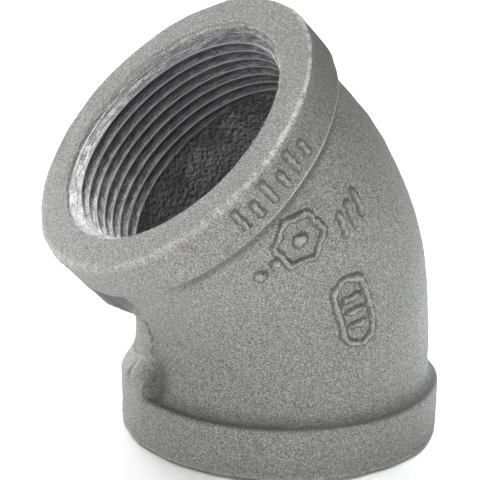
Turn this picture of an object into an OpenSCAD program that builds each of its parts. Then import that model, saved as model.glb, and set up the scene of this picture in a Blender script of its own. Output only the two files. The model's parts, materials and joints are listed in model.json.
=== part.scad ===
// 45 degree malleable-iron pipe elbow, 1-1/2 in, one casting with two tapped sockets.
// Millimetres. +Z up. The origin is the centre of the inlet end face, which faces down.
// The outlet leans 45 degrees towards -X in the XZ plane, and the mould parts in that plane.
// The nodes are regions of one casting. They meet face to face and never overlap.

/* [Ends] */
// Centre of the bend to either end face
centre_to_end = 36.0; // [36.0:0.1:37.5]
// Outside diameter of both reinforcing bands
band_d = 61.6; // [61.4:0.1:63.0]
// Width of the inlet band along its axis
inlet_band_w = 10.4; // [9.0:0.1:11.0]
// Width of the outlet band along its axis
outlet_band_w = 9.0; // [8.6:0.1:9.4]
// Rounding of each band where it meets its end face
face_round = 1.6; // [0.8:0.1:2.2]
// Rounding of each band's back corner
back_round = 0.7; // [0.4:0.1:1.0]

/* [Bend] */
// Radius of the bend's centre line
bend_r = 40.5; // [38.0:0.5:40.5]
// Outside diameter of the curved body
body_d = 57.0; // [56.6:0.1:57.4]
// Wall thickness of the curved body
wall = 3.9; // [3.5:0.1:4.0]
// Fillet where the body runs into the back of a band
root_fillet = 2.0; // [1.0:0.1:2.2]

/* [Threaded sockets] */
// Threads per inch
threads_per_inch = 11.5; // [11:0.5:11.5]
// Diameter across the thread crests, the tap-drill size
crest_d = 44.0; // [43.8:0.05:44.6]
// Depth of the thread grooves below the crests
groove_depth = 1.5; // [1.2:0.05:1.55]
// Width of each crest land
crest_land = 0.30; // [0.2:0.05:0.35]
// Number of full turns
turns = 7; // [6:1:7]
// Depth from the end face to the last crest
thread_depth = 18.0; // [17.8:0.1:18.0]
// Diameter of the shallow recess at the mouth
mouth_d = 48.3; // [48.0:0.1:48.4]
// Depth of that recess
recess = 1.3; // [1.0:0.1:1.4]
// Bevel on the mouth's edge
mouth_break = 0.3; // [0.1:0.05:0.4]

/* [Crotch] */
// Width of the parting-line rib inside the bend
rib_w = 1.0; // [0.8:0.1:2.4]
// Height of the rib above the body
rib_h = 0.5; // [0.3:0.1:1.2]
// Length of the web behind the inlet band
inlet_web = 7.6; // [6.0:0.1:8.0]
// Length of the web behind the outlet band
outlet_web = 9.8; // [8.0:0.1:9.8]

/* [Raised marks] */
// Height of the marks above the casting
mark_h = 0.6; // [0.3:0.05:0.9]
// Width of a mark's stroke
stroke = 1.0; // [0.8:0.05:1.4]

/* [Hidden] */
$fn = 96;
inch = 25.4;
bend_deg = 45;
pitch = inch / threads_per_inch;
band_r = band_d / 2;
body_r = body_d / 2;
cavity_r = body_r - wall;
crest_r = crest_d / 2;
root_r = crest_r + groove_depth;
mouth_r = mouth_d / 2;
thread_start = thread_depth - turns * pitch;
runout = 0.7;
flank_deg = 30;
tangent = bend_r * tan(bend_deg / 2);
leg = centre_to_end - tangent;
rim = 2;
web_shoulder = 0.65;
hex_r = 5.4;
oblong_w = 7.4;
oblong_l = 14.5;
iron = [0.60, 0.60, 0.58];
cut_iron = [0.72, 0.72, 0.70];

// The inlet's own frame is the part's frame: face at z = 0, inwards is +z.
// This puts the same frame on the outlet.
module outlet_frame() {
    translate([0, 0, centre_to_end])
        rotate([0, -bend_deg, 0])
            translate([0, 0, centre_to_end])
                rotate([180, 0, 0])
                    children();
}

// Profile of a ring between two radii, from height z0 to z1.
module ring_profile(r0, r1, z0, z1) {
    translate([r0, z0])
        square([r1 - r0, z1 - z0]);
}

module ring(r0, r1, z0, z1) {
    rotate_extrude()
        ring_profile(r0, r1, z0, z1);
}

// The curved length of the body's centre line, as a tube.
module bend_tube(r0, r1) {
    translate([-bend_r, 0, leg])
        rotate([90, 0, 0])
            rotate_extrude(angle = bend_deg)
                translate([bend_r, 0])
                    difference() {
                        circle(r1);
                        circle(r0);
                    }
}

// Removes the square corner at (x, 0) outside an arc of radius r.
module corner_cut(x, r) {
    translate([x - r, r])
        difference() {
            translate([0, -r - rim])
                square([r + rim, r + rim]);
            circle(r);
        }
}

// One reinforcing band with its flat end face and the recess at the mouth.
module band(width) {
    rotate_extrude()
        difference() {
            union() {
                ring_profile(cavity_r, band_r, 0, width);
                ring_profile(mouth_r, cavity_r, 0, recess);
            }
            corner_cut(band_r, face_round);
            translate([0, width])
                mirror([0, 1])
                    corner_cut(band_r, back_round);
            polygon([
                [mouth_r - rim, -rim],
                [mouth_r + mouth_break + rim, -rim],
                [mouth_r, mouth_break],
                [mouth_r - rim, mouth_break]
            ]);
        }
}

// Tapped lining of a socket: entry cone, crest lands with a V groove behind each, run-out cone.
module thread_ring() {
    half_root = (pitch - crest_land) / 2 - groove_depth * tan(flank_deg);
    cut = [
        for (i = [0:turns - 1])
            let (z = thread_start + i * pitch + crest_land)
                each [
                    [crest_r, z],
                    [root_r, z + (pitch - crest_land) / 2 - half_root],
                    [root_r, z + (pitch - crest_land) / 2 + half_root],
                    [crest_r, z + pitch - crest_land]
                ]
    ];
    rotate_extrude()
        polygon(concat(
            [[cavity_r, recess], [mouth_r, recess], [crest_r, thread_start]],
            cut,
            [[crest_r, thread_depth + crest_land], [cavity_r, thread_depth + crest_land + runout]]
        ));
}

// Straight length of the body behind a band, with the fillet that runs up to the band's back.
module neck(z) {
    rotate_extrude()
        difference() {
            union() {
                ring_profile(cavity_r, body_r, z, leg);
                ring_profile(body_r - wall / 2, body_r + root_fillet * 0.85, z, z + root_fillet * 0.9);
            }
            translate([body_r + root_fillet, z + root_fillet])
                circle(root_fillet);
        }
}

module inlet_neck() {
    color(iron)
        neck(inlet_band_w);
}

module outlet_neck() {
    color(iron)
        outlet_frame()
            neck(outlet_band_w);
}

module bend_wall() {
    color(iron)
        bend_tube(cavity_r, body_r);
}

module inlet_band() {
    color(iron)
        band(inlet_band_w);
}

module outlet_band() {
    color(iron)
        outlet_frame()
            band(outlet_band_w);
}

module inlet_thread() {
    color(cut_iron)
        thread_ring();
}

module outlet_thread() {
    color(cut_iron)
        outlet_frame()
            thread_ring();
}

// Section of the fillet that a neck carries behind a band of width z.
module fillet_section(z) {
    translate([body_r, z])
        difference() {
            translate([-rim, -rim])
                square([rim + root_fillet * 0.85, rim + root_fillet * 0.9]);
            translate([root_fillet, root_fillet])
                circle(root_fillet);
        }
}

// Straight length of the rib on a neck, cut away where the neck's fillet stands.
module rib_leg(z) {
    rotate([90, 0, 0])
        linear_extrude(rib_w, center = true)
            mirror([1, 0])
                difference() {
                    ring_profile(body_r, body_r + rib_h, z, leg);
                    fillet_section(z);
                }
}

// Web of metal that carries a band's outside into the crotch, between two angles.
module web(z, length, from, to) {
    rotate([0, 0, from])
        rotate_extrude(angle = to - from)
            difference() {
                polygon([
                    [body_r, z],
                    [band_r, z],
                    [band_r, z + length * web_shoulder],
                    [body_r, z + length]
                ]);
                fillet_section(z);
            }
}

// Inside of the bend: a thin rib on the mould's parting line, with a web at each end.
module crotch_rib() {
    color(iron)
        union() {
            outlet_frame() {
                rib_leg(outlet_band_w);
                web(outlet_band_w, outlet_web, 165, 195);
            }
            translate([-bend_r, 0, leg])
                rotate([90, 0, 0])
                    rotate_extrude(angle = bend_deg)
                        translate([bend_r - body_r - rib_h, -rib_w / 2])
                            square([rib_h, rib_w]);
            rib_leg(inlet_band_w);
            web(inlet_band_w, inlet_web, 148, 183);
        }
}

// A shape drawn in the XZ plane at (x, z), stretched out to the body's -Y side.
module prism(x, z, turn) {
    translate([x, 0, z])
        rotate([90, 0, 0])
            linear_extrude(band_r + rim)
                rotate(turn)
                    children();
}

// A raised shape on the curved length of the body.
module on_bend(x, z, turn) {
    intersection() {
        bend_tube(body_r, body_r + mark_h);
        prism(x, z, turn)
            children();
    }
}

// A raised shape on the straight length behind the outlet band.
module on_neck(x, z, turn) {
    intersection() {
        outlet_frame()
            ring(body_r, body_r + mark_h, outlet_band_w + root_fillet, leg);
        prism(x, z, turn)
            children();
    }
}

// A rounded bar centred on the origin, along x.
module bar(length) {
    square([length - stroke, stroke], center = true);
    for (side = [-1, 1])
        translate([side * (length - stroke) / 2, 0])
            circle(stroke / 2);
}

// Six-sided frame with a dot in the middle. It lies across the end of the curved length.
module hexagon() {
    difference() {
        circle(hex_r, $fn = 6);
        circle(hex_r - stroke, $fn = 6);
    }
    circle(stroke * 1.2);
}

module hexagon_mark() {
    color(iron) {
        on_bend(-15.5, 46.6, 15)
            hexagon();
        on_neck(-15.5, 46.6, 15)
            hexagon();
    }
}

// Three slanted bars above the six-sided frame.
module three_bars() {
    for (i = [-1:1])
        translate([i * 2.6, 0])
            rotate(70)
                bar(4.4);
}

module bars_mark() {
    color(iron)
        on_bend(-4.7, 49.8, 45)
            three_bars();
}

// Two dots below the six-sided frame.
module dots_mark() {
    color(iron)
        on_neck(-20.6, 41.4, 45)
            for (i = [-1, 1])
                translate([i * 1.7, 0])
                    circle(stroke * 0.9);
}

// Round-ended frame with three bars across it.
module oblong(length, width) {
    square([length - width, width], center = true);
    for (side = [-1, 1])
        translate([side * (length - width) / 2, 0])
            circle(width / 2);
}

module oblong_mark() {
    color(iron)
        on_bend(-3.4, 31.8, 90) {
            difference() {
                oblong(oblong_l, oblong_w);
                oblong(oblong_l - 2 * stroke, oblong_w - 2 * stroke);
            }
            for (i = [-1:1])
                translate([i * 2.8, 0])
                    rotate(90)
                        bar(3.4);
        }
}

// Row of six plain bars round the outlet band, on its -Y side.
module band_marks() {
    color(iron)
        outlet_frame()
            intersection() {
                ring(band_r, band_r + mark_h, 0, outlet_band_w);
                for (i = [0:5])
                    rotate([0, 0, 76 + i * 6.2])
                        translate([0, -stroke / 2, 2.2])
                            cube([band_r + rim, stroke, i % 2 == 0 ? 4.8 : 3.2]);
            }
}

inlet_band();
inlet_thread();
inlet_neck();
bend_wall();
outlet_neck();
outlet_thread();
outlet_band();
crotch_rib();
band_marks();
hexagon_mark();
bars_mark();
dots_mark();
oblong_mark();
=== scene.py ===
import json
import math

import bmesh
import bpy
import numpy as np
from mathutils import Matrix, Vector


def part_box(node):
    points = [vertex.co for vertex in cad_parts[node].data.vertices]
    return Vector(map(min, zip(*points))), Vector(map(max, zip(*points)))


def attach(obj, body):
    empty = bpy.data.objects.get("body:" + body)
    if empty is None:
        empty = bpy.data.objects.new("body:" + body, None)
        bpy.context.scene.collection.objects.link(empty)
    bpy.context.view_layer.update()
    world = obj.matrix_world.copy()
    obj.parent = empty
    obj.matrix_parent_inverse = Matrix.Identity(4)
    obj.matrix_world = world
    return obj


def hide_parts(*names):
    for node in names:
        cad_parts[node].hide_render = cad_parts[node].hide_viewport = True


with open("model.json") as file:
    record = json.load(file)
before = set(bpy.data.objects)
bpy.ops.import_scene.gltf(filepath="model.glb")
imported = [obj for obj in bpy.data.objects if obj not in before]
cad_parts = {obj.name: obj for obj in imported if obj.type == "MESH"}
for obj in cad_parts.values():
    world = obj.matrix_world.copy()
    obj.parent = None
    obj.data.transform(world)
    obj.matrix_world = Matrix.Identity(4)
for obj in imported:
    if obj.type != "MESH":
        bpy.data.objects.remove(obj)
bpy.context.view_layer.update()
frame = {"nodes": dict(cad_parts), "record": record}

# Shapes are worked out in millimetres and placed in metres.
MM = 0.001

# ---------------------------------------------------------------- sizes, read from the frame
MOUNTS = {mount["name"]: mount for mount in frame["record"]["mounts"]}
OUTLET_POS = Vector(MOUNTS["outlet_face"]["pos_m"])
OUTLET_AXIS = Vector(MOUNTS["outlet_face"]["axis"])
BEND = Vector((0, 0, 1)).angle(OUTLET_AXIS)
CENTRE_TO_END = OUTLET_POS.z / (1 + math.cos(BEND)) / MM
CREST_R = MOUNTS["outlet_thread"]["dims"]["r_mm"]
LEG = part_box("inlet_neck")[1].z / MM
BEND_R = (CENTRE_TO_END - LEG) / math.tan(BEND / 2)
ARC = BEND_R * BEND
LENGTH = 2 * LEG + ARC
BODY_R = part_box("bend_wall")[1].y / MM
BAND_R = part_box("inlet_band")[1].x / MM
CAVITY_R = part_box("inlet_thread")[1].x / MM
INLET_BAND_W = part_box("inlet_band")[1].z / MM
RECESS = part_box("inlet_thread")[0].z / MM
THREAD_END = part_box("inlet_thread")[1].z / MM
OUTLET_BAND_W = max(
    (OUTLET_POS - vertex.co).dot(OUTLET_AXIS) for vertex in frame["nodes"]["outlet_band"].data.vertices
) / MM

# ---------------------------------------------------------------- sizes of the finish
# Lengths are in mm. An angle round the centre line is 0 on the outside of the bend, 90 degrees at +Y and
# 180 degrees in the crotch. A depth runs along the centre line from the nearer end face.
CROTCH = math.pi

# The recess at each mouth, and the break between it and the end face.
MOUTH_R = 24.15
MOUTH_BREAK = 0.3

# The rounding of a band's front corner in the crotch, how much less it is on the opposite side, and the
# rounding of its back corner.
FACE_ROUND = 1.6
FACE_SHARPER = 0.85
BACK_ROUND = 0.7

# The fillet behind a band, and how much longer it gets in the crotch.
ROOT_LENGTH = 2.1
CROTCH_LENGTH = 1.4
CROTCH_SPREAD = math.radians(38)

# On both sides of the crotch the outlet band slopes into the body, from before its back to well behind it.
BLEND_BEFORE = 1.6
BLEND_AFTER = 5.0
BLEND_STARTS = (math.radians(14), math.radians(22))
BLEND_STOPS = (math.radians(33), math.radians(46))

# How far the body stands inside its round shape beside the crotch, and the angle from the crotch towards +Y.
CROTCH_SINK = 0.55
SINK_ANGLE = math.radians(27)
SINK_SPREAD = math.radians(20)

# The faint line that the mould's joint leaves.
PARTING_H = 0.10
PARTING_W = 0.45

# How far the outlet band stands inside its round shape, and where.
BAND_FLAT = 0.38
FLAT_ANGLE = math.radians(108)
FLAT_SPREAD = math.radians(36)

# The stretch of the outlet socket's wall that is given painted shade.
SOCKET_SHADE_ANGLE = math.radians(55)
SOCKET_SHADE_SPREAD = math.radians(70)

# The thread: its pitch, the depth of its grooves, its taper on the radius, how far its crests stand outside
# the CAD's at one depth, one place on a crest and the crest's middle as a share of the pitch, the length of
# the entry cone, and the slope of the run-out.
PITCH = 25.4 / 11.5
THREAD_H = 1.5
TAPER = 1 / 32
OVER = 0.25
OVER_AT = 2.5
CREST_AT = 5.0
CREST_ANGLE = math.radians(100)
CREST_MIDDLE = 0.06
CONE_LENGTH = 1.4
RUNOUT_SLOPE = 3.6

# The meshes: columns round a ring, the usual row, the rows of a recess, the short row beside a seam, the angle
# of a sharp edge, and the distance in m within which points are welded.
SEGMENTS = 420
ROW = 0.45
RECESS_ROW = 0.2
SEAM = 0.03
SHARP = math.radians(34)
WELD = 1e-7


# ---------------------------------------------------------------- random relief
def waves(seed, length, count=28):
    """Wave vectors and phases of a smooth random field with features about `length` mm across."""
    random = np.random.default_rng(seed)
    k = random.normal(size=(count, 3))
    k /= np.linalg.norm(k, axis=1)[:, None]
    k *= (2 * math.pi / (length * random.uniform(0.65, 1.35, count)))[:, None]
    return k, random.uniform(0, 2 * math.pi, count)


def field(points, wave):
    """The field's value at each point, with a mean of 0 and a deviation of 1."""
    k, phase = wave
    total = np.zeros(points.shape[:-1])
    for vector, start in zip(k, phase):
        total += np.cos(points @ vector + start)
    return total * math.sqrt(2 / len(phase))


# Each field, with the height that it has on the casting.
BROAD, BROAD_H = waves(3, 17), 0.07
LUMPS, LUMPS_H = waves(5, 6.5), 0.035
PEBBLES, PEBBLES_H = waves(7, 2.4), 0.018
RAGGED, RAGGED_H = waves(11, 9), 0.10
CORE, CORE_H = waves(13, 3.2), 0.13
CORE_FINE, CORE_FINE_H = waves(17, 1.6), 0.07
CHATTER, CHATTER_H = waves(19, 1.0), 0.08
FACE_LUMPS_H = 0.04
FACE_PEBBLES_H = 0.02
NICKS = waves(41, 1.7)


def cast_relief(points):
    """Height of the sand-cast skin above its true surface, in mm."""
    lumps = BROAD_H * field(points, BROAD) + LUMPS_H * field(points, LUMPS)
    return lumps + PEBBLES_H * field(points, PEBBLES)


def core_relief(points):
    """Height of the rough cored cavity, in mm."""
    return CORE_H * field(points, CORE) + CORE_FINE_H * field(points, CORE_FINE)


def smooth(x):
    """Smooth step from 0 to 1."""
    x = np.clip(x, 0, 1)
    return x * x * (3 - 2 * x)


def between(x, low, high):
    """Smooth step from 0 at low to 1 at high. high may be the smaller of the two."""
    return smooth((x - low) / (high - low))


def outer_side(angle, middle, slope):
    """Smooth step that is highest on the outside of the bend, or in the crotch if slope is negative."""
    return smooth(middle + slope * np.cos(angle))


def lit_side(angle):
    """Share of painted highlight: 1 on the crotch's side of a socket, where light falls, less on the side of
    the bend's outside.
    """
    return 0.35 + 0.65 * outer_side(angle, 0.6, -1.0)


def bell(x, width):
    """1 at 0, falling to nothing a few widths away."""
    return np.exp(-((x / width) ** 2))


def from_crotch(angle):
    """Signed angle from the inside of the bend, positive towards -Y."""
    return np.angle(np.exp(1j * (angle - CROTCH)))


def parting_line(angle, radius):
    """Height of the mould's joint line, which runs down the crotch and down the outside of the bend."""
    inside = bell(from_crotch(angle) * radius, PARTING_W)
    outside = bell(from_crotch(angle + math.pi) * radius, PARTING_W)
    return PARTING_H * (inside + outside)


def socket_shade(angle, from_outlet):
    """1 in the outlet socket's stretch of wall that is given painted shade, between the bend's outside and +Y.
    """
    away = np.angle(np.exp(1j * (angle - SOCKET_SHADE_ANGLE)))
    return np.exp(-((away / SOCKET_SHADE_SPREAD) ** 4)) if from_outlet else 0 * away


def sunk_side(s, angle):
    """How far the body stands inside its round shape, beside the crotch on the +Y side."""
    along = between(s, 13, 18) * between(s, 40, 32)
    return CROTCH_SINK * along * bell(from_crotch(angle) + SINK_ANGLE, SINK_SPREAD)


# ---------------------------------------------------------------- the centre line
def line_at(s):
    """Centre, direction and outward side of the centre line, s mm from the inlet face."""
    s = np.asarray(s, float)
    turn = np.clip((s - LEG) / BEND_R, 0, BEND)
    before = np.minimum(s, LEG)
    after = np.maximum(s - LEG - ARC, 0)
    none = np.zeros_like(s)
    direction = np.stack([-np.sin(turn), none, np.cos(turn)], -1)
    outward = np.stack([np.cos(turn), none, np.sin(turn)], -1)
    centre = np.stack([
        BEND_R * (np.cos(turn) - 1) - np.sin(turn) * after,
        none,
        before + BEND_R * np.sin(turn) + np.cos(turn) * after,
    ], -1)
    return centre, direction, outward


def radial_at(s, angle):
    """Direction away from the centre line at each angle. 0 is the outside of the bend."""
    outward = line_at(s)[2]
    return outward * np.cos(angle)[..., None] + np.array([0, 1, 0]) * np.sin(angle)[..., None]


def place(s, r, angle):
    """Points r mm from the centre line."""
    s, r, angle = np.broadcast_arrays(np.asarray(s, float), r, angle)
    return line_at(s)[0] + radial_at(s, angle) * r[..., None]


def station(x, z):
    """s and outward offset of a point (x, z) of the XZ plane."""
    turn = math.atan2(z - LEG, x + BEND_R)
    if turn < 0:
        return z, x
    if turn < BEND:
        return LEG + BEND_R * turn, math.hypot(x + BEND_R, z - LEG) - BEND_R
    centre, direction, outward = line_at(LENGTH)
    offset = np.array([x, 0, z]) - centre
    return LENGTH + offset @ direction, offset @ outward


def angles(count=SEGMENTS):
    """Even angles round the centre line."""
    return np.arange(count) * (2 * math.pi / count)


# ---------------------------------------------------------------- meshes
def make_object(name, vertices, faces, node, materials, painted=None, values=None, weld=False):
    """One piece that stands for a CAD node, with smooth shading and edges sharp above the angle SHARP."""
    mesh = bpy.data.meshes.new(name)
    mesh.from_pydata((vertices * MM).tolist(), [], faces)
    for key, value in (values or {}).items():
        layer = mesh.attributes.new(key, "FLOAT", "POINT")
        layer.data.foreach_set("value", np.asarray(value, np.float32).ravel())
    for material in materials:
        mesh.materials.append(material)
    if painted is not None:
        mesh.polygons.foreach_set("material_index", np.asarray(painted, np.int32))
    work = bmesh.new()
    work.from_mesh(mesh)
    if weld:
        bmesh.ops.remove_doubles(work, verts=work.verts, dist=WELD)
    if work.calc_volume(signed=True) < 0:
        bmesh.ops.reverse_faces(work, faces=work.faces)
    for face in work.faces:
        face.smooth = True
    for edge in work.edges:
        edge.smooth = len(edge.link_faces) == 2 and edge.calc_face_angle(0) < SHARP
    work.to_mesh(mesh)
    work.free()
    made = bpy.data.objects.new(name, mesh)
    bpy.context.scene.collection.objects.link(made)
    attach(made, "root")
    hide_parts(node)
    return made


def ring_faces(rows, columns, wrap=None):
    """Quads between each row and the next, closed both ways.

    wrap is the row that each row meets past the last column.
    """
    wrap = np.arange(rows) if wrap is None else np.asarray(wrap)
    i = np.arange(rows)
    j = np.arange(columns)
    following = (i + 1) % rows
    here = i[:, None] * columns + j
    above = following[:, None] * columns + j
    here_next = i[:, None] * columns + np.roll(j, -1)
    above_next = following[:, None] * columns + np.roll(j, -1)
    here_next[:, -1] = wrap * columns
    above_next[:, -1] = wrap[following] * columns
    return np.stack([here, here_next, above_next, above], -1).reshape(-1, 4)


def steps(start, stop, size, seam_start=False, seam_stop=False):
    """Even steps from start to stop, both included, with a very short one at each seam."""
    count = max(2, int(round(abs(stop - start) / size)) + 1)
    values = list(np.linspace(start, stop, count))
    sign = 1 if stop > start else -1
    if seam_start:
        values.insert(1, start + sign * SEAM)
    if seam_stop:
        values.insert(-1, stop - sign * SEAM)
    return values


class Ring:
    """A closed profile carried round the centre line.

    Each point of it has a depth from its own end, a radius, an outward normal in those two, a share of the
    relief, its wear and painted highlight, its dust and painted shade, and which material it is.
    """

    def __init__(self):
        self.rows = []

    def add(self, depth, radius, normal=(0, 0), relief=None, share=0.0, wear_and_highlight=0.0, dust_and_shade=0.0, material=0):
        self.rows.append((depth, radius, normal, relief, share, wear_and_highlight, dust_and_shade, material))

    def build(self, name, node, materials, from_outlet=False):
        angle = angles()
        points, wear_and_highlight_rows, dust_and_shade_rows = [], [], []
        for depth, radius, normal, relief, share, wear_and_highlight, dust_and_shade, _ in self.rows:
            s = LENGTH - np.asarray(depth, float) if from_outlet else np.asarray(depth, float)
            along = -normal[0] if from_outlet else normal[0]
            base = place(s, radius, angle)
            if relief is not None:
                s_all = np.broadcast_to(s, angle.shape)
                out = line_at(s_all)[1] * np.asarray(along)[..., None]
                out = out + radial_at(s_all, angle) * np.asarray(normal[1])[..., None]
                base = base + out * (relief(base) * share)[..., None]
            points.append(base)
            wear_and_highlight_rows.append(np.broadcast_to(wear_and_highlight, angle.shape))
            dust_and_shade_rows.append(np.broadcast_to(dust_and_shade, angle.shape))
        count = len(self.rows)
        painted = np.repeat([row[-1] for row in self.rows], len(angle))
        return make_object(
            name,
            np.array(points).reshape(-1, 3),
            ring_faces(count, len(angle)).tolist(),
            node,
            materials,
            painted,
            {"wear_and_highlight": np.array(wear_and_highlight_rows), "dust_and_shade": np.array(dust_and_shade_rows)},
        )


# ---------------------------------------------------------------- materials
# Numbers of the node sockets that are not set by name.
OBJECT_COORDINATES = 3
SCALE_FACTOR = 3
ATTRIBUTE_FACTOR = 2
DISTANCE_VALUE = 1
MIX_FACTOR, MIX_A, MIX_B, MIX_COLOUR = 0, 6, 7, 2


class Tree:
    """Short ways of making a material's nodes."""

    def __init__(self, name):
        self.material = bpy.data.materials.new(name)
        self.material.use_nodes = True
        self.nodes = self.material.node_tree.nodes
        self.links = self.material.node_tree.links
        self.shader = self.nodes["Principled BSDF"]

    def set(self, socket, value):
        """Links a socket, or gives it a constant."""
        if isinstance(value, bpy.types.NodeSocket):
            self.links.new(value, socket)
        else:
            socket.default_value = value

    def add(self, kind, inputs=(), output=0, **settings):
        """Makes a node and gives one of its outputs."""
        node = self.nodes.new("ShaderNode" + kind)
        for key, value in settings.items():
            setattr(node, key, value)
        for key, value in dict(inputs).items():
            self.set(node.inputs[key], value)
        return node.outputs[output]

    def math(self, operation, a, b=0.0, c=0.0, **settings):
        return self.add("Math", {0: a, 1: b, 2: c}, operation=operation, **settings)

    def grade(self, value, low, high, to_low=0.0, to_high=1.0):
        """value from low..high to to_low..to_high, held at the ends."""
        return self.add(
            "MapRange",
            {"Value": value, "From Min": low, "From Max": high, "To Min": to_low, "To Max": to_high},
        )

    def noise(self, vector, scale, detail=2.0, roughness=0.5):
        return self.add(
            "TexNoise",
            {"Vector": vector, "Scale": scale, "Detail": detail, "Roughness": roughness},
        )

    def mix(self, factor, a, b, blend="MIX"):
        node = self.nodes.new("ShaderNodeMix")
        node.data_type = "RGBA"
        node.blend_type = blend
        self.set(node.inputs[MIX_FACTOR], factor)
        self.set(node.inputs[MIX_A], a)
        self.set(node.inputs[MIX_B], b)
        return node.outputs[MIX_COLOUR]

    def bump(self, height, distance, strength=1.0, normal=None):
        inputs = {"Height": height, "Distance": distance, "Strength": strength}
        if normal is not None:
            inputs["Normal"] = normal
        return self.add("Bump", inputs)

    def millimetres(self):
        """Object coordinates in millimetres."""
        here = self.add("TexCoord", output=OBJECT_COORDINATES)
        return self.add("VectorMath", {0: here, SCALE_FACTOR: 1 / MM}, operation="SCALE")

    def value(self, name):
        """A number carried by the mesh's points."""
        return self.add("Attribute", output=ATTRIBUTE_FACTOR, attribute_name=name)

    def near(self, point, centre, radius):
        """1 at a point of the part, in mm, falling to 0 at the radius."""
        distance = self.add("VectorMath", {0: point, 1: centre}, output=DISTANCE_VALUE, operation="DISTANCE")
        return self.grade(distance, radius, 0.0)


def grey(level, tint=(1.0, 1.0, 1.0)):
    """A grey colour, with an optional tint."""
    return (level * tint[0], level * tint[1], level * tint[2], 1.0)


SKIN_TINT = (1.0, 1.01, 0.945)
CORE_TINT = (1.0, 0.97, 1.03)
# Tint of the dust and painted shade: cool and purplish, as shade is.
DUST_AND_SHADE_TINT = (1.0, 0.98, 1.04)
CUT_DUST_AND_SHADE_TINT = (1.0, 0.95, 1.10)
RUST = (0.21, 0.15, 0.09, 1.0)
IRON_METALLIC = 0.12

# The length in m over which marks left by turning change, going round a socket.
TURNED_LENGTH = 0.012

# How far towards the outlet's mouth, in mm, the cavity's bumps are compared, to paint the side of them facing
# it lighter (painted highlight) and the other side darker (painted shade).
CORE_STEP = 0.28

# Middle, in mm, and radius of each rust spot.
SPOTS = [
    ((-20.0, -23.4, 7.6), 1.3),
    ((-11.0, -26.0, 70.3), 1.5),
    ((-36.5, -25.2, 47.5), 2.2),
    ((-29.7, -27.7, 46.6), 1.8),
]


def cast_skin():
    """Grey sand-cast skin: fine grain, bright flecks, dark pits, worn edges with painted highlights, dust and
    painted shade in corners, and rust spots.
    """
    t = Tree("cast_skin")
    at = t.millimetres()
    mottle = t.noise(at, 0.10, 3.0, 0.55)
    grain = t.noise(at, 3.0, 4.0, 0.85)
    fine = t.noise(at, 5.5, 2.0, 0.6)
    flecks = t.grade(t.noise(at, 2.7, 2.0, 0.5), 0.60, 0.70)
    pits = t.grade(t.noise(at, 1.6, 3.0, 0.6), 0.37, 0.29)
    colour = t.mix(t.grade(grain, 0.34, 0.66), grey(0.105, SKIN_TINT), grey(0.43, SKIN_TINT))
    colour = t.mix(t.grade(mottle, 0.3, 0.7, 0.0, 0.3), colour, grey(0.25, SKIN_TINT))
    colour = t.mix(1.0, colour, t.grade(t.noise(at, 5.0, 2.0, 0.7), 0.38, 0.62, 0.42, 1.66), "MULTIPLY")
    colour = t.mix(t.math("MULTIPLY", flecks, 0.7), colour, grey(0.55, SKIN_TINT))
    colour = t.mix(t.math("MULTIPLY", pits, 0.7), colour, grey(0.09))
    # Worn edges, partly painted highlight, lightened towards a pale grey.
    wear_and_highlight = t.math("MULTIPLY", t.value("wear_and_highlight"), t.grade(grain, 0.36, 0.58, 0.0, 0.85), use_clamp=True)
    colour = t.mix(wear_and_highlight, colour, grey(0.84, SKIN_TINT))
    # Dust and painted shade: corners, fillets, mark feet and shaded sides are darkened towards a dark purplish
    # grey.
    dust_and_shade = t.math("MULTIPLY", t.value("dust_and_shade"), 0.78)
    colour = t.mix(dust_and_shade, colour, grey(0.085, DUST_AND_SHADE_TINT))
    for centre, radius in SPOTS:
        spot = t.grade(t.math("MULTIPLY", t.near(at, centre, radius), t.grade(fine, 0.3, 0.7)), 0.12, 0.45)
        colour = t.mix(t.math("MULTIPLY", spot, 0.55), colour, RUST)
    t.set(t.shader.inputs["Base Color"], colour)
    t.set(t.shader.inputs["Roughness"], t.grade(grain, 0.3, 0.7, 0.74, 0.58))
    t.shader.inputs["Metallic"].default_value = IRON_METALLIC
    height = t.math("MULTIPLY_ADD", fine, 0.25, grain)
    normal = t.bump(t.noise(at, 1.1, 2.0, 0.5), 0.00055)
    normal = t.bump(height, 0.00048, 1.0, normal)
    t.set(t.shader.inputs["Normal"], normal)
    return t.material


def core_skin():
    """The cored cavity: dark, with coarse sand bumps, and painted highlight and shade on them, paler on the
    side towards the outlet's mouth.
    """
    t = Tree("core_skin")
    at = t.millimetres()
    towards_mouth = t.add("VectorMath", {0: at, 1: OUTLET_AXIS * CORE_STEP}, operation="ADD")
    bumps = t.noise(at, 1.25, 1.5, 0.5)
    lit = t.math("SUBTRACT", bumps, t.noise(towards_mouth, 1.25, 1.5, 0.5))
    fine = t.noise(at, 3.2, 3.0, 0.7)
    colour = t.mix(t.grade(fine, 0.35, 0.65), grey(0.25, CORE_TINT), grey(0.36))
    # Painted light and shade on the bumps: lighter on their side towards the mouth, darker on the other.
    colour = t.mix(1.0, colour, t.grade(lit, -0.13, 0.13, 0.42, 1.75), "MULTIPLY")
    colour = t.mix(t.grade(t.noise(at, 0.16, 2.0, 0.5), 0.50, 0.66, 0.0, 0.6), colour, grey(0.12))
    t.set(t.shader.inputs["Base Color"], colour)
    t.set(t.shader.inputs["Roughness"], t.grade(fine, 0.3, 0.7, 0.55, 0.38))
    t.shader.inputs["Metallic"].default_value = IRON_METALLIC
    normal = t.bump(bumps, 0.0016)
    t.set(t.shader.inputs["Normal"], t.bump(fine, 0.0005, 1.0, normal))
    return t.material


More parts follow.
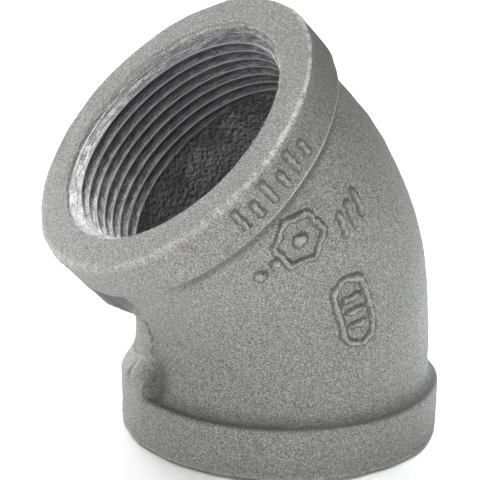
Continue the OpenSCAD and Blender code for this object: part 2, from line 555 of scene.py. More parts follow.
def turned(t, centre, axis):
    """Coordinates that run slowly round a socket and in mm along it, for the marks left by turning."""
    turn = math.atan2(axis[0], axis[2])
    at = t.add("TexCoord", output=OBJECT_COORDINATES)
    scale = (TURNED_LENGTH, TURNED_LENGTH, MM)
    return t.add(
        "Mapping",
        {"Vector": at, "Location": tuple(centre), "Rotation": (0.0, turn, 0.0), "Scale": scale},
        vector_type="TEXTURE",
    )


def cut_metal(name, end, dark, bright, roughness):
    """Bored or tapped iron: streaks round the socket, worn edges with painted highlights, dust and painted
    shade in the groove bottoms.
    """
    t = Tree(name)
    at = t.millimetres()
    round_socket = turned(t, MOUNTS[end]["pos_m"], MOUNTS[end]["axis"])
    streak = t.noise(round_socket, 4.6, 3.0, 0.7)
    grain = t.noise(at, 3.2, 3.0, 0.75)
    patch = t.noise(at, 0.22, 3.0, 0.6)
    colour = t.mix(t.grade(streak, 0.41, 0.60), grey(dark), grey(bright))
    colour = t.mix(1.0, colour, t.grade(grain, 0.38, 0.62, 0.5, 1.55), "MULTIPLY")
    colour = t.mix(t.grade(patch, 0.5, 0.72, 0.0, 0.4), colour, grey(dark * 0.75))
    # Wear and painted highlight: crests, the mouth's lip and the lit side of the cone are lightened.
    colour = t.mix(t.math("MULTIPLY", t.value("wear_and_highlight"), 0.8), colour, grey(0.62))
    # Dust and painted shade: groove bottoms, the recess's corner, the shaded stretch and the cone's shaded
    # side are darkened.
    colour = t.mix(t.math("MULTIPLY", t.value("dust_and_shade"), 0.9), colour, grey(dark * 0.16, CUT_DUST_AND_SHADE_TINT))
    t.set(t.shader.inputs["Base Color"], colour)
    t.set(t.shader.inputs["Roughness"], t.grade(streak, 0.3, 0.7, roughness + 0.1, roughness - 0.08))
    t.set(t.shader.inputs["Metallic"], t.grade(t.value("dust_and_shade"), 0.0, 1.0, 0.3, 0.0))
    t.set(t.shader.inputs["Specular IOR Level"], t.grade(t.value("dust_and_shade"), 0.0, 1.0, 0.5, 0.15))
    normal = t.bump(streak, 0.00010)
    t.set(t.shader.inputs["Normal"], t.bump(grain, 0.00012, 1.0, normal))
    return t.material


SKIN = cast_skin()
CORE_SKIN = core_skin()
BORE_FINISH = {"dark": 0.30, "bright": 0.66, "roughness": 0.55}
CUT_FINISH = {"dark": 0.22, "bright": 0.66, "roughness": 0.5}
INLET_BORE = cut_metal("inlet_bore", "inlet_thread", **BORE_FINISH)
OUTLET_BORE = cut_metal("outlet_bore", "outlet_thread", **BORE_FINISH)
INLET_CUT = cut_metal("inlet_cut", "inlet_thread", **CUT_FINISH)
OUTLET_CUT = cut_metal("outlet_cut", "outlet_thread", **CUT_FINISH)


# ---------------------------------------------------------------- bands and necks
# Wear, partly painted highlight, and dust, partly painted shade, run from 0 to 1, and wear may go over 1 where
# an edge is torn.
OUTLET_SIDE_SHADE = 0.30
OUTLET_BACK_WEAR_AND_HIGHLIGHT = 1.3
OUTLET_BACK_DUST_AND_SHADE = 0.5
INLET_BACK_DUST_AND_SHADE = 0.8
FRONT_WEAR = 0.48
FRONT_HIGHLIGHT_OUTSIDE = 1.12
FRONT_WEAR_MOST = 1.6
FRONT_WEAR_NARROW = 1.4
TORN = 0.9
TORN_CHANGE = 0.32
EDGE_SHARE = 0.15
MOUTH_WEAR_AND_HIGHLIGHT = (1.0, 0.5, 0.0)
RECESS_SHADE = 0.9
RECESS_STRETCH_SHADE = 0.1
INLET_ROOT_DUST_AND_SHADE = 0.85
OUTLET_TAIL_DUST_AND_SHADE = 0.75
TAIL_FADE = 0.5

# The painted shadow that the inlet's web casts on the body beside it: its distance from the crotch and its
# spread, and the depths where it is gone and where it is whole.
WEB_SHADOW = (3.2, 2.2)
WEB_SHADOW_FADES = (20.5, 15.5)


def edge_relief(points):
    """The skin plus a slow waviness, for the bands' rounded front corners."""
    return cast_relief(points) + RAGGED_H * field(points, RAGGED)


def face_relief(points):
    """The end faces only ever dip, so the fitting still stands flat."""
    return -np.abs(FACE_LUMPS_H * field(points, LUMPS) + FACE_PEBBLES_H * field(points, PEBBLES))


def chatter(points):
    """The rough surface of the recess at the mouth."""
    return CHATTER_H * field(points, CHATTER)


def blended(radius, depth, width, blend):
    """A radius of the band's back or the neck, eased into one long slope where blend is 1."""
    share = smooth((depth - width + BLEND_BEFORE) / (BLEND_BEFORE + BLEND_AFTER))
    return radius * (1 - blend) + (BAND_R - (BAND_R - BODY_R) * share) * blend


def blend_share(angle, from_outlet):
    """1 where the outlet band runs softly into the body, on both sides of the crotch."""
    if not from_outlet:
        return np.zeros_like(angle)
    away = np.abs(from_crotch(angle))
    return between(away, *BLEND_STARTS) * (1 - between(away, *BLEND_STOPS))


def under_web(angle):
    """1 where the inlet's web covers the back of its band."""
    away = from_crotch(angle) * BAND_R
    return between(away, -22, -18) * (1 - between(away, 0.2, 1.8))


def band(name, width, bore, from_outlet):
    """A reinforcing band, from its back over its outside, its front corner and the end face to the recess."""
    ring = Ring()
    angle = angles()
    blend = blend_share(angle, from_outlet)
    # Painted shade: the outlet band's outside is darkened towards the outside of the bend.
    side_shade = OUTLET_SIDE_SHADE * outer_side(angle, 0.6, 1.2) if from_outlet else 0.0
    crisp = (1 - blend) * (1.0 if from_outlet else 1 - under_web(angle))
    outer = outer_side(angle, 0.75, 1.2) * crisp
    line = parting_line(angle, BAND_R)
    if from_outlet:
        line = line - BAND_FLAT * bell(angle - FLAT_ANGLE, FLAT_SPREAD)
    shaded_stretch = socket_shade(angle, from_outlet)
    # Wear and a painted highlight: a bright line on the band's back edge, on the outside of the bend only.
    back_wear_and_highlight = (OUTLET_BACK_WEAR_AND_HIGHLIGHT if from_outlet else 0.0) * outer
    # Dust and painted shade in the corner behind the band's back.
    back_dust_and_shade = (OUTLET_BACK_DUST_AND_SHADE if from_outlet else INLET_BACK_DUST_AND_SHADE) * crisp
    corner = BAND_R - BACK_ROUND
    for turn in np.radians(np.linspace(0, 90, 8)):
        n = (math.cos(turn), math.sin(turn))
        depth = width - BACK_ROUND + BACK_ROUND * n[0]
        radius = blended(corner + BACK_ROUND * n[1], depth, width, blend) + line * n[1]
        wear_and_highlight = back_wear_and_highlight * math.sin(2 * turn)
        ring.add(depth, radius, n, cast_relief, share=n[1], wear_and_highlight=wear_and_highlight, dust_and_shade=back_dust_and_shade * n[0] ** 2)
    for depth in steps(width - BACK_ROUND, FACE_ROUND, ROW)[1:-1]:
        radius = blended(BAND_R, depth, width, blend) + line
        ring.add(depth, radius, (0, 1), cast_relief, share=1.0, dust_and_shade=side_shade)
    torn = TORN + TORN_CHANGE * field(place(0.0, BAND_R, angle), NICKS)
    # Wear along the front corner, with a stronger painted highlight towards the outside of the bend.
    front_wear_and_highlight = torn * (FRONT_WEAR + FRONT_HIGHLIGHT_OUTSIDE * outer_side(angle, 0.4, 1.0))
    front_wear_and_highlight = np.clip(front_wear_and_highlight, 0, FRONT_WEAR_MOST)
    rounding = FACE_ROUND - FACE_SHARPER * outer_side(angle, 0.5, 0.8)
    for turn in np.radians(np.linspace(90, 180, 12)):
        n = (math.cos(turn), math.sin(turn))
        depth = rounding * (1 + n[0])
        radius = BAND_R - rounding * (1 - n[1]) + line * n[1]
        share = EDGE_SHARE + (1 - EDGE_SHARE) * n[1]
        wear_and_highlight = front_wear_and_highlight * math.sin(2 * turn - math.pi) ** FRONT_WEAR_NARROW
        ring.add(depth, radius, n, edge_relief, share=share, wear_and_highlight=wear_and_highlight)
    for radius in steps(BAND_R - FACE_ROUND, MOUTH_R + MOUTH_BREAK, ROW)[1:]:
        ring.add(0.0, radius, (-1, 0), face_relief, share=1.0)
    # Painted highlight on the mouth's worn lip, strongest on the crotch's side, where light falls.
    lip = lit_side(angle)
    for k, depth in enumerate(steps(MOUTH_BREAK, RECESS, RECESS_ROW, seam_stop=True)):
        wear_and_highlight = lip * MOUTH_WEAR_AND_HIGHLIGHT[min(k, len(MOUTH_WEAR_AND_HIGHLIGHT) - 1)]
        at_bottom = depth == RECESS
        # Painted shade in the corner at the recess's bottom, and the shaded stretch's painted shade on its
        # wall.
        dust_and_shade = (RECESS_SHADE if at_bottom else 0.0) + RECESS_STRETCH_SHADE * shaded_stretch
        share = 0.0 if at_bottom else 1.0
        ring.add(depth, MOUTH_R, (0, -1), chatter, share=share, wear_and_highlight=wear_and_highlight, dust_and_shade=dust_and_shade, material=1)
    ring.add(RECESS, CAVITY_R)
    ring.add(width, CAVITY_R)
    ring.build(name + "_casting", name, [SKIN, bore], from_outlet)


def neck(name, width, from_outlet):
    """The straight wall behind a band, with its root fillet."""
    ring = Ring()
    angle = angles()
    blend = blend_share(angle, from_outlet)
    away = from_crotch(angle)
    length = ROOT_LENGTH + CROTCH_LENGTH * bell(away, CROTCH_SPREAD)
    rise = BAND_R - BACK_ROUND - BODY_R
    reach = width + length
    line = parting_line(angle, BODY_R)
    # Dust and painted shade in the root fillet, and a dark line of it that runs on past the outlet's fillet.
    dark = 1 - blend if from_outlet else INLET_ROOT_DUST_AND_SHADE * (1 - under_web(angle))
    tail_shade = OUTLET_TAIL_DUST_AND_SHADE * (1 - blend) if from_outlet else 0.0
    shadow_v, shadow_spread = WEB_SHADOW

    def add(depth, radius, n, share, dust_and_shade):
        s = LENGTH - depth if from_outlet else depth
        inside = blended(radius, depth, width, blend) - sunk_side(s, angle)
        # Painted shadow of the inlet's web on the body.
        web_shadow = bell(away * BODY_R - shadow_v, shadow_spread) * between(depth, *WEB_SHADOW_FADES)
        dust_and_shade = np.maximum(dust_and_shade, 0.0 if from_outlet else web_shadow)
        dust_and_shade = np.maximum(dust_and_shade, tail_shade * bell(np.maximum(depth - reach, 0), TAIL_FADE))
        ring.add(depth, inside + line * share, n, cast_relief, share=share, dust_and_shade=dust_and_shade)

    for turn in np.radians(np.linspace(0, 90, 13)):
        n = (math.cos(turn), math.sin(turn))
        # Painted shade, with dust, deepest where the fillet meets the band.
        dust_and_shade = dark * (1 - turn / (math.pi / 2)) ** 0.9
        add(width + length * (1 - n[0]), BODY_R + rise * (1 - n[1]), n, n[1], dust_and_shade)
    count = int(round((LEG - width - ROOT_LENGTH) / ROW))
    for share in np.linspace(0, 1, count + 1)[1:-1]:
        add(reach + (LEG - SEAM - reach) * share, BODY_R, (0, 1), 1.0, 0.0)
    add(np.full_like(angle, LEG - SEAM), BODY_R, (0, 1), 1.0, 0.0)
    add(np.full_like(angle, LEG), BODY_R, (0, 1), 1.0, 0.0)
    ring.add(LEG, CAVITY_R, material=1)
    ring.add(THREAD_END, CAVITY_R)
    ring.add(width, CAVITY_R)
    ring.build(name + "_casting", name, [SKIN, CORE_SKIN], from_outlet)


CORE_FADE = 2.5


def bend_wall():
    """The curved wall, whose cavity gets rough away from both sockets."""
    ring = Ring()
    angle = angles()
    line = parting_line(angle, BODY_R)
    for s in steps(LEG, LEG + ARC, ROW, True, True):
        ring.add(s, BODY_R + line - sunk_side(s, angle), (0, 1), cast_relief, share=1.0)
    for s in steps(LEG + ARC, LEG, ROW):
        fade = float(smooth(min(s - LEG, LEG + ARC - s) / CORE_FADE))
        ring.add(s, CAVITY_R, (0, -1), core_relief, share=fade, material=1)
    ring.build("bend_wall_casting", "bend_wall", [SKIN, CORE_SKIN])


band("inlet_band", INLET_BAND_W, INLET_BORE, False)
band("outlet_band", OUTLET_BAND_W, OUTLET_BORE, True)
neck("inlet_neck", INLET_BAND_W, False)
neck("outlet_neck", OUTLET_BAND_W, True)
bend_wall()


# ---------------------------------------------------------------- threads
# One pitch of the thread: share of the pitch, share of the thread's height, wear with painted highlight, and
# dust with painted shade by depth in the groove.
PROFILE = [
    (0.000, 0.035, 0.9, 0.0),
    (0.016, 0.0, 1.0, 0.0),
    (0.104, 0.0, 1.0, 0.0),
    (0.120, 0.035, 0.9, 0.0),
    (0.150, 0.112, 0.1, 0.0),
    (0.240, 0.345, 0.0, 0.1),
    (0.365, 0.655, 0.0, 0.4),
    (0.490, 0.965, 0.0, 0.9),
    (0.518, 1.0, 0.0, 1.0),
    (0.598, 1.0, 0.0, 1.0),
    (0.626, 0.965, 0.0, 0.9),
    (0.751, 0.655, 0.0, 0.4),
    (0.876, 0.345, 0.0, 0.1),
    (0.968, 0.112, 0.1, 0.0),
]


# The entry cone's painted highlight on its lit side, and its painted shade towards the outside of the bend.
CONE_HIGHLIGHT = 0.25
CONE_SHADE = 0.6

# Dust and painted shade at a groove's bottom outside the shaded stretch, how far behind the recess the
# stretch's painted shade starts and over what length, and how dark it leaves the crests and how much more the
# grooves.
GROOVE_DUST_AND_SHADE = 0.35
SHADE_STARTS = 0.7
SHADE_LENGTH = 0.9
SHADE_ON_CREST = 0.52
SHADE_IN_GROOVE = 0.47


def hole_radius(depth):
    """Radius of the entry cone and of the run-out, which the thread is cut through."""
    cone = MOUTH_R - (depth - RECESS) * (MOUTH_R - CREST_R) / CONE_LENGTH
    runout = CAVITY_R - (THREAD_END - depth) * RUNOUT_SLOPE
    return np.maximum(np.maximum(cone, runout), CREST_R - 1)


def thread(name, material, from_outlet):
    """Tapered right-hand thread.

    Its rows follow the helix, and where they leave the socket they meet its ends.
    """
    angle = angles()
    low, high = (LENGTH - THREAD_END, LENGTH - RECESS) if from_outlet else (RECESS, THREAD_END)
    crest = LENGTH - CREST_AT if from_outlet else CREST_AT
    lead = PITCH * angle / (2 * math.pi)
    first = crest - PITCH * (CREST_ANGLE / (2 * math.pi) + CREST_MIDDLE)
    turns_below = math.ceil((first - low) / PITCH) + 1
    turns_above = math.ceil((high - first) / PITCH)
    rows, wear_and_highlight_rows, dust_and_shade_rows = [], [], []
    shaded_stretch = socket_shade(angle, from_outlet)
    # Painted highlight on the cone's lit side, and painted shade on its side towards the bend's outside.
    cone_highlight = CONE_HIGHLIGHT * lit_side(angle)
    cone_shade = CONE_SHADE * outer_side(angle, 0.6, 2.5)
    for turn in range(-turns_below, turns_above + 1):
        for share, height, wear_and_highlight, dust_and_shade in PROFILE:
            s = np.clip(first + (turn + share) * PITCH + lead, low, high)
            depth = LENGTH - s if from_outlet else s
            cut = CREST_R + OVER - TAPER * (depth - OVER_AT) + THREAD_H * height
            hole = hole_radius(depth)
            shown = cut >= hole
            rows.append(place(s, np.maximum(cut, hole), angle))
            wear_and_highlight_rows.append(np.where(shown, wear_and_highlight, cone_highlight))
            # Painted shade on the thread in the shaded stretch, more in the grooves than on the crests.
            in_shaded_stretch = shaded_stretch * smooth((depth - RECESS - SHADE_STARTS) / SHADE_LENGTH)
            off_crest = smooth(1.2 * dust_and_shade + 0.5 * (wear_and_highlight < 0.5))
            stretch_shade = in_shaded_stretch * (SHADE_ON_CREST + SHADE_IN_GROOVE * off_crest)
            dust_and_shade_rows.append(np.where(shown, GROOVE_DUST_AND_SHADE * dust_and_shade * (1 - in_shaded_stretch) + stretch_shade, cone_shade))
    helix = len(rows)
    per_turn = len(PROFILE)
    wrap = list(np.minimum(np.arange(helix) + per_turn, helix - 1))
    for s in (high, low):
        rows.append(place(s, CAVITY_R, angle))
        wear_and_highlight_rows.append(np.zeros_like(angle))
        dust_and_shade_rows.append(np.zeros_like(angle))
        wrap.append(len(rows) - 1)
    make_object(
        name + "_cut",
        np.array(rows).reshape(-1, 3),
        ring_faces(len(rows), len(angle), wrap).tolist(),
        name,
        [material],
        None,
        {"wear_and_highlight": np.array(wear_and_highlight_rows), "dust_and_shade": np.array(dust_and_shade_rows)},
        weld=True,
    )


thread("inlet_thread", INLET_CUT, False)
thread("outlet_thread", OUTLET_CUT, True)


# ---------------------------------------------------------------- raised marks and the rib
# A mark's height and grid, and the width and softness of its strokes.
MARK_H = 0.58
MARK_GRID = 0.18
STROKE = 1.0
STROKE_SOFT = 0.6
MARK_WEAR = 0.4

# The thin foot round a stroke, and the dust and painted shade beside it.
SKIRT = 0.75
SKIRT_H = 0.075
SKIRT_SOFT = 0.4
DUST_SHADE_AT = 0.25
DUST_SHADE_SPREAD = 0.48

# How deep raised metal is set into the wall, and how far below that its hidden back lies.
SUNK = 0.06
BACKING = 0.45
EDGE_NOISE = waves(23, 1.5)
TOP_NOISE = waves(29, 1.9)
WOBBLE = 0.10
TOP_ROUGH = 0.04


def to_segment(v, u, start, end):
    """Distance from (v, u) to a segment."""
    a, b = np.array(start, float), np.array(end, float)
    along = b - a
    share = np.clip(((v - a[0]) * along[0] + (u - a[1]) * along[1]) / (along @ along), 0, 1)
    return np.hypot(v - a[0] - share * along[0], u - a[1] - share * along[1])


def to_hexagon(v, u, radius):
    """Signed distance to a six-sided outline with a corner on the v axis."""
    sides = [math.radians(30 + 60 * k) for k in range(6)]
    return np.max([v * math.cos(a) + u * math.sin(a) for a in sides], 0) - radius * math.cos(math.pi / 6)


def lines(start, stop, step=MARK_GRID):
    """Evenly spaced grid lines."""
    return np.linspace(start, stop, int((stop - start) / step) + 1)


def stroke(distance):
    """Height, from 0 to 1, of a raised line whose middle is at distance 0."""
    return smooth(0.5 - (distance - STROKE / 2) / STROKE_SOFT)


def mark_relief(outline):
    """Height, wear, and dust and painted shade of crisp strokes on a thin darkened foot, given the distance to
    their middle.
    """
    def relief(v, u, s):
        distance = outline(v, u)
        body = MARK_H * stroke(distance)
        skirt = SKIRT_H * smooth((STROKE / 2 + SKIRT - distance) / SKIRT_SOFT)
        top = np.clip(body / MARK_H, 0, 1)
        # Dust and painted shade round each stroke's foot.
        dust_and_shade_paint = bell(distance - STROKE / 2 - DUST_SHADE_AT, DUST_SHADE_SPREAD)
        return np.maximum(body, skirt), MARK_WEAR * top ** 3, dust_and_shade_paint
    return relief


def patch(name, node, centre_s, centre_angle, radius, lines_u, lines_v, relief):
    """Raised metal on the casting. relief gives its height in mm, its wear and painted highlight, and its dust
    and painted shade at (v, u) and s.
    """
    u, v = np.meshgrid(lines_u, lines_v, indexing="ij")
    s = centre_s + u
    angle = centre_angle + v / radius
    base = place(s, radius, angle)
    normal = radial_at(s, angle)
    v = v + WOBBLE * field(base, EDGE_NOISE)
    u = u + WOBBLE * field(base, TOP_NOISE)
    raised, wear_and_highlight, dust_and_shade_paint = relief(v, u, s)
    top = base + normal * np.maximum(raised, 0)[..., None]
    skin = cast_relief(top) + TOP_ROUGH * field(base, TOP_NOISE) * np.clip(raised / MARK_H, 0, 1)
    top = top + normal * (skin - SUNK)[..., None]
    back = base + normal * (skin - SUNK - BACKING)[..., None]
    kept = raised > 0
    cell = kept[:-1, :-1] | kept[1:, :-1] | kept[:-1, 1:] | kept[1:, 1:]
    rows, columns = u.shape
    index = np.arange(rows * columns).reshape(rows, columns)
    quads = np.stack([index[:-1, :-1], index[:-1, 1:], index[1:, 1:], index[1:, :-1]], -1)[cell]
    total = rows * columns
    edges = {}
    for quad in quads.tolist():
        for start, stop in zip(quad, quad[1:] + quad[:1]):
            edges[(start, stop)] = True
    walls = [(b, a, a + total, b + total) for a, b in edges if (b, a) not in edges]
    faces = quads.tolist() + (quads[:, ::-1] + total).tolist() + walls
    used = np.unique(np.array(quads).ravel())
    used = np.concatenate([used, used + total])
    renumber = np.full(2 * total, -1)
    renumber[used] = np.arange(len(used))
    faces = [[int(renumber[i]) for i in face] for face in faces]
    points = np.concatenate([top.reshape(-1, 3), back.reshape(-1, 3)])[used]
    painted = {
        key: np.concatenate([paint.ravel(), 0 * paint.ravel()])[used]
        for key, paint in (("wear_and_highlight", wear_and_highlight), ("dust_and_shade", dust_and_shade_paint))
    }
    return make_object(name, points, faces, node, [SKIN], None, painted)


def mark_place(node, radius):
    """s and angle of the middle of a CAD mark on the -Y side."""
    low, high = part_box(node)
    middle = (low + high) / 2 / MM
    s, offset = station(middle.x, middle.z)
    return s, -math.acos(offset / radius)


def turned_to(v, u, degrees):
    """(v, u) in a shape's own axes, turned against the casting's."""
    a = math.radians(degrees)
    return v * math.cos(a) + u * math.sin(a), -v * math.sin(a) + u * math.cos(a)


# The angle between two bars on the band.
BAND_BARS_GAP = 0.1082


def hexagon_outline(v, u):
    """A six-sided frame with a dot in its middle."""
    v, u = turned_to(v, u, -30)
    return np.minimum(np.abs(to_hexagon(v, u, 5.0)), np.maximum(np.hypot(v, u) - 0.7, 0))


def bars_outline(v, u):
    """Three slanted bars."""
    return np.min([to_segment(v, u, (2.6 * i - 0.6, -1.7), (2.6 * i + 0.6, 1.7)) for i in (-1, 0, 1)], 0)


def dots_outline(v, u):
    """Two dots."""
    return np.min([np.maximum(np.hypot(v - 1.7 * i, u) - 0.4, 0) for i in (-1, 1)], 0)


def oblong_outline(v, u):
    """A round-ended frame with three bars across it."""
    frame_line = np.abs(to_segment(v, u, (0, -3.6), (0, 3.6)) - 3.2)
    bars = [to_segment(v, u, (-1.2, 2.8 * i), (1.2, 2.8 * i)) for i in (-1, 0, 1)]
    return np.min([frame_line] + bars, 0)


def band_bars_outline(v, u):
    """Six plain bars, alternately long and short."""
    gap = BAND_BARS_GAP * BAND_R
    bars = []
    for i in range(6):
        across = gap * (i - 2.5)
        end = 1.8 if i % 2 == 0 else 0.4
        bars.append(to_segment(v, u, (across, -2.0), (across, end)))
    return np.min(bars, 0)

# Node, half the patch's length along the casting and round it, outline, and radius of the wall.
MARKS = [
    ("hexagon_mark", 7.0, 7.0, hexagon_outline, BODY_R),
    ("bars_mark", 4.0, 5.8, bars_outline, BODY_R),
    ("dots_mark", 2.8, 4.2, dots_outline, BODY_R),
    ("oblong_mark", 8.8, 5.4, oblong_outline, BODY_R),
    ("band_marks", 3.9, 11.0, band_bars_outline, BAND_R),
]

for name, half_u, half_v, outline, radius in MARKS:
    s, angle = mark_place(name, radius)
    patch(
        name + "_raised", name, s, angle, radius, lines(-half_u, half_u), lines(-half_v, half_v),
        mark_relief(outline),
    )


# The crotch: a thin ragged rib on the parting line, with a web of metal behind each band.
RIB_H = 0.5
WEB_H = BAND_R - BODY_R
WEB_MEETS = 0.02
WEB_FALL = 4.2
WEB_DROP = 0.3
SHOWN_FROM = 0.02
RIB_START = INLET_BAND_W - 1.6
RIB_END = LENGTH - OUTLET_BAND_W + 1.2
RIB_MIDDLE = (RIB_START + RIB_END) / 2
JAGS = waves(31, 2.6)
TEARS = waves(37, 5.0)
PIT = (-5.2, 14.2)
PIT_LIP = 1.0
PIT_LONG = 0.6


def along_only(s, wave):
    """Random value that changes along the rib and not across it."""
    return field(np.stack([s, 0 * s, 0 * s], -1), wave)


def rib_shape(v, s):
    """The ragged rib, which wanders a little and changes in height and width."""
    middle = 0.15 * along_only(s, TEARS)
    height = np.clip(0.55 + 0.35 * along_only(s, JAGS), 0.12, 1.1)
    return RIB_H * height * bell(v - middle, 0.24 + 0.08 * along_only(s + 40, TEARS))


def inlet_web(v, s):
    """Carries the band's outside into the crotch: steep on the -Y side, soft on the other."""
    edge = 1.0 + 0.2 * along_only(s, JAGS)
    across = smooth((edge - v) / 1.2 + 0.5) * between(v, -22, -15)
    shoulder = 11.3 + 2.2 * bell(v + 2.5, 5.0)
    return WEB_H * across * (1 - smooth((s - shoulder) / WEB_FALL))


def torn_pit(v, s):
    """A torn pit on the web's shoulder, with a lip on the side of the parting line."""
    across, along = v - PIT[0], (s - PIT[1]) * PIT_LONG
    lip = 0.28 * bell(across - PIT_LIP, 0.4) * bell(along, 1.3)
    return lip - 0.45 * bell(np.hypot(across, along), 0.9)


def outlet_web(v, s):
    """Rises to the outlet band's outside along a narrow ridge."""
    across = smooth((3.2 - v) / 4.4) * between(v, -10, -4)
    rise = 1 - np.clip((57.5 - s) / 7.5, 0, 1) ** 2
    return WEB_H * across * rise


def crotch_relief(v, u, s):
    """Height, wear, and painted shade of everything raised in the crotch, v mm from the parting line towards
    -Y.
    """
    webs = np.maximum(inlet_web(v, s), outlet_web(v, s))
    pit = torn_pit(v, s) * smooth(webs / 0.4)
    raised = webs + pit + rib_shape(v, s) * (1 - smooth((webs - 0.8) / 0.8))
    meets = smooth((s - RIB_START) / 0.8) * smooth((RIB_END - s) / 0.6)
    height = raised + (SUNK + WEB_MEETS) * smooth(raised / 0.3) - WEB_DROP * (1 - meets)
    height = np.where(raised > SHOWN_FROM, height, 0)
    on_rib = bell(v, 0.4) * np.clip(rib_shape(v, s) / RIB_H, 0, 1) * (s > 17)
    lip = bell(v - PIT[0] - PIT_LIP, 0.4) * bell((s - PIT[1]) * PIT_LONG, 1.2)
    # Painted shade: the shadowed foot of the inlet's web, the torn pit, a shadow line beside the rib and the
    # shade under the outlet band.
    wall = bell(v - 2.0, 1.1) * (1 - between(s, 15, 20))
    hollow = 0.8 * bell(np.hypot(v - PIT[0] + 0.9, (s - PIT[1] + 0.8) * 0.5), 0.9)
    line = 0.9 * bell(v - 0.45, 0.3) * between(s, 24, 28)
    under = 0.75 * between(v, -3, 0) * between(s, 52, 55)
    return height, 0.2 * on_rib + 0.7 * lip, np.clip(wall + hollow + line + under, 0, 1)


# The grid is finest across the rib.
RIB_ALONG = lines(RIB_START - RIB_MIDDLE, RIB_END - RIB_MIDDLE, 0.2)
RIB_ACROSS = np.concatenate([
    lines(-23.0, -7.6, 0.35),
    lines(-7.4, -1.3, 0.2),
    lines(-1.2, 3.4, 0.1),
    lines(3.6, 7.0, 0.3),
])
patch(
    "crotch_rib_raised", "crotch_rib", RIB_MIDDLE, CROTCH, BODY_R, RIB_ALONG, RIB_ACROSS, crotch_relief,
)


# ---------------------------------------------------------------- stage
TARGET = Vector((0, 0, CENTRE_TO_END * MM))
FLOOR_R = 4.0
FLOOR_RISE = 6.0
FLOOR_GAP = 0.0002
FLOOR_RINGS = 40
FLOOR_COLUMNS = 96
FLOOR_COLOUR = (0.94, 0.94, 0.94, 1.0)
WORLD_COLOUR = (0.97, 0.98, 1.0, 1.0)
WORLD_LEVEL = 0.09

# Name, azimuth, elevation and power of each lamp that is aimed at the fitting.
SOFT_DISTANCE = 0.9
SOFT_SIZE = 0.45
SOFT_LIGHTS = [
    ("key", -90, 60, 4.1),
    ("left_rear", -180, 60, 3.3),
    ("front", -30, 30, 1.8),
    ("low_front", -60, 3, 2.8),
    ("low_rear", -180, 3, 12.5),
    ("right", 30, 60, 0.8),
]

# Name, middle, radius, power and colour of each lit patch of floor.
FLOOR_LIGHT_HEIGHT = 0.8
WHITE = (1.0, 1.0, 1.0)
COOL = (0.97, 0.97, 1.04)
FLOOR_LIGHTS = [
    ("front_bounce", (-0.02, -0.15), 0.10, 92.0, WHITE),
    ("right_bounce", (0.10, 0.0), 0.06, 300.0, COOL),
    ("left_bounce", (-0.14, 0.03), 0.09, 50.0, COOL),
    ("backdrop", (0.31, 0.46), 0.42, 30.0, COOL),
]


def towards(azimuth, elevation):
    """Direction from the fitting, with angles in radians. Azimuth 0 is on the -Y side."""
    level = math.cos(elevation)
    return Vector((math.sin(azimuth) * level, -math.cos(azimuth) * level, math.sin(elevation)))


def stage_floor():
    """A pale floor that curves up far from the fitting on every side."""
    vertices, faces = [(0.0, 0.0, -FLOOR_GAP)], []
    for i in range(1, FLOOR_RINGS + 1):
        share = i / FLOOR_RINGS
        rise = FLOOR_RISE * max(0.0, share - 0.5) ** 2
        for a in angles(FLOOR_COLUMNS):
            vertices.append((FLOOR_R * share * math.cos(a), FLOOR_R * share * math.sin(a), rise - FLOOR_GAP))
    for j in range(FLOOR_COLUMNS):
        k = (j + 1) % FLOOR_COLUMNS
        faces.append((0, 1 + j, 1 + k))
        for i in range(FLOOR_RINGS - 1):
            low = 1 + i * FLOOR_COLUMNS
            high = low + FLOOR_COLUMNS
            faces.append((low + j, high + j, high + k, low + k))
    mesh = bpy.data.meshes.new("floor")
    mesh.from_pydata(vertices, [], faces)
    mesh.polygons.foreach_set("use_smooth", [True] * len(mesh.polygons))
    floor = bpy.data.objects.new("floor", mesh)
    bpy.context.scene.collection.objects.link(floor)
    t = Tree("floor_paper")
    t.shader.inputs["Base Color"].default_value = FLOOR_COLOUR
    t.shader.inputs["Roughness"].default_value = 0.9
    mesh.materials.append(t.material)


def soft_light(name, azimuth, elevation, power):
    """A square lamp aimed at the fitting."""
    back = towards(math.radians(azimuth), math.radians(elevation))
    lamp = bpy.data.lights.new(name, "AREA")
    lamp.shape = "SQUARE"
    lamp.size = SOFT_SIZE
    lamp.energy = power
    lamp.color = WHITE
    made = bpy.data.objects.new(name, lamp)
    made.location = TARGET + back * SOFT_DISTANCE
    made.rotation_mode = "QUATERNION"
    made.rotation_quaternion = back.to_track_quat("Z", "Y")
    bpy.context.scene.collection.objects.link(made)


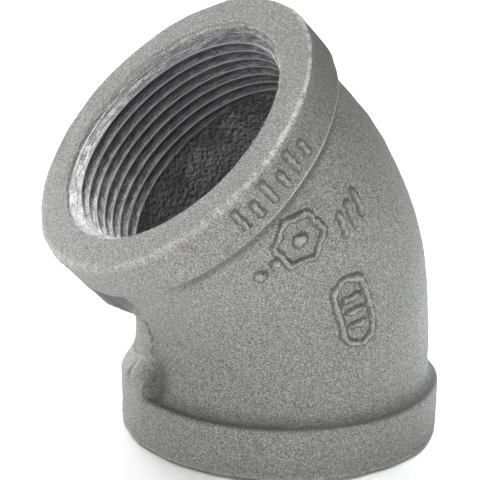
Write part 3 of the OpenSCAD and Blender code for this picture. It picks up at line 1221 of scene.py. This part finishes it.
def floor_light(name, middle, radius, power, colour):
    """A lamp straight above a round patch of floor beside the fitting, which lights it from below."""
    lamp = bpy.data.lights.new(name, "SPOT")
    lamp.spot_size = 2 * math.atan(radius / FLOOR_LIGHT_HEIGHT)
    lamp.spot_blend = 0.5
    lamp.shadow_soft_size = 0.05
    lamp.energy = power
    lamp.color = colour
    made = bpy.data.objects.new(name, lamp)
    made.location = (middle[0], middle[1], FLOOR_LIGHT_HEIGHT)
    bpy.context.scene.collection.objects.link(made)


def studio_world():
    """A faint even light from all round."""
    world = bpy.data.worlds.new("studio")
    world.use_nodes = True
    background = world.node_tree.nodes["Background"]
    background.inputs["Color"].default_value = WORLD_COLOUR
    background.inputs["Strength"].default_value = WORLD_LEVEL
    bpy.context.scene.world = world


# ---------------------------------------------------------------- camera
CAM_AZIMUTH = math.radians(-33.74)
CAM_ELEVATION = math.radians(17.346)
CAM_ROLL = math.radians(1.61)
CAM_DISTANCE = 0.3310
CAM_LENS = 129.8
CAM_SENSOR = 36
CAM_SHIFT = (-0.0910, 0.0060)
CAM_CLIP = (0.01, 20)


def camera():
    """A camera near the fitting, a little above it on its -Y and -X side, with a slight roll."""
    back = towards(CAM_AZIMUTH, CAM_ELEVATION)
    right = Vector((math.cos(CAM_AZIMUTH), math.sin(CAM_AZIMUTH), 0))
    up = back.cross(right)
    rolled_right = math.cos(CAM_ROLL) * right + math.sin(CAM_ROLL) * up
    rolled_up = math.cos(CAM_ROLL) * up - math.sin(CAM_ROLL) * right
    data = bpy.data.cameras.new("camera")
    data.sensor_width = CAM_SENSOR
    data.lens = CAM_LENS
    data.shift_x, data.shift_y = CAM_SHIFT
    data.clip_start, data.clip_end = CAM_CLIP
    made = bpy.data.objects.new("camera", data)
    turn = Matrix((rolled_right, rolled_up, back)).transposed().to_4x4()
    made.matrix_world = Matrix.Translation(TARGET + back * CAM_DISTANCE) @ turn
    bpy.context.scene.collection.objects.link(made)
    bpy.context.scene.camera = made


stage_floor()
studio_world()
for light in SOFT_LIGHTS:
    soft_light(*light)
for light in FLOOR_LIGHTS:
    floor_light(*light)
camera()
bpy.context.scene.view_settings.view_transform = "Standard"
